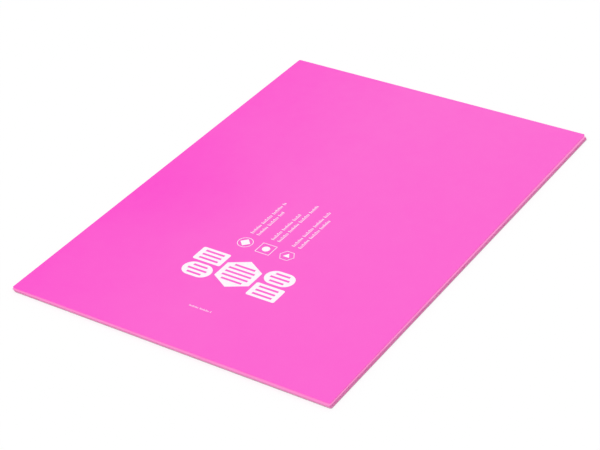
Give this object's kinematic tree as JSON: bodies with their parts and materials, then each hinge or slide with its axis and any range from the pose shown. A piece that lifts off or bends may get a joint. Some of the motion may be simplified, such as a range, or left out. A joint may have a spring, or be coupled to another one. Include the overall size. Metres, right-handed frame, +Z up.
{
  "type": "stack of moderation cards",
  "caption": "Flat stack of loose pink film cards in a large paper format, under a printed pink cover card and on a plain back card.",
  "frame": {"origin": "bottom centre of the stack's bounding box, on the surface that it lies on", "axes": "+Y along the long side of the sheets, +Z up through the thickness, +X along the short side; the print's small row is nearest the -Y edge"},
  "size_m": [0.212, 0.2988, 0.0025],
  "materials": {
    "printed_board": "satin",
    "white_ink": "satin",
    "pink_film": "satin",
    "plain_board": "matte"
  },
  "bodies": {
    "root": {"cover_print": "white_ink", "cover_card": "printed_board", "note_card_01": "pink_film", "note_card_02": "pink_film", "note_card_03": "pink_film", "note_card_04": "pink_film", "note_card_05": "pink_film", "note_card_06": "pink_film", "note_card_07": "pink_film", "note_card_08": "pink_film", "note_card_09": "pink_film", "note_card_10": "pink_film", "note_card_11": "pink_film", "note_card_12": "pink_film", "note_card_13": "pink_film", "note_card_14": "pink_film", "note_card_15": "pink_film", "note_card_16": "pink_film", "note_card_17": "pink_film", "note_card_18": "pink_film", "note_card_19": "pink_film", "note_card_20": "pink_film", "note_card_21": "pink_film", "note_card_22": "pink_film", "note_card_23": "pink_film", "note_card_24": "pink_film", "note_card_25": "pink_film", "note_card_26": "pink_film", "note_card_27": "pink_film", "note_card_28": "pink_film", "note_card_29": "pink_film", "note_card_30": "pink_film", "note_card_31": "pink_film", "note_card_32": "pink_film", "note_card_33": "pink_film", "note_card_34": "pink_film", "note_card_35": "pink_film", "note_card_36": "pink_film", "note_card_37": "pink_film", "note_card_38": "pink_film", "note_card_39": "pink_film", "note_card_40": "pink_film", "note_card_41": "pink_film", "note_card_42": "pink_film", "note_card_43": "pink_film", "note_card_44": "pink_film", "note_card_45": "pink_film", "note_card_46": "pink_film", "note_card_47": "pink_film", "note_card_48": "pink_film", "note_card_49": "pink_film", "note_card_50": "pink_film", "back_card": "plain_board"}
  },
  "joints": []
}
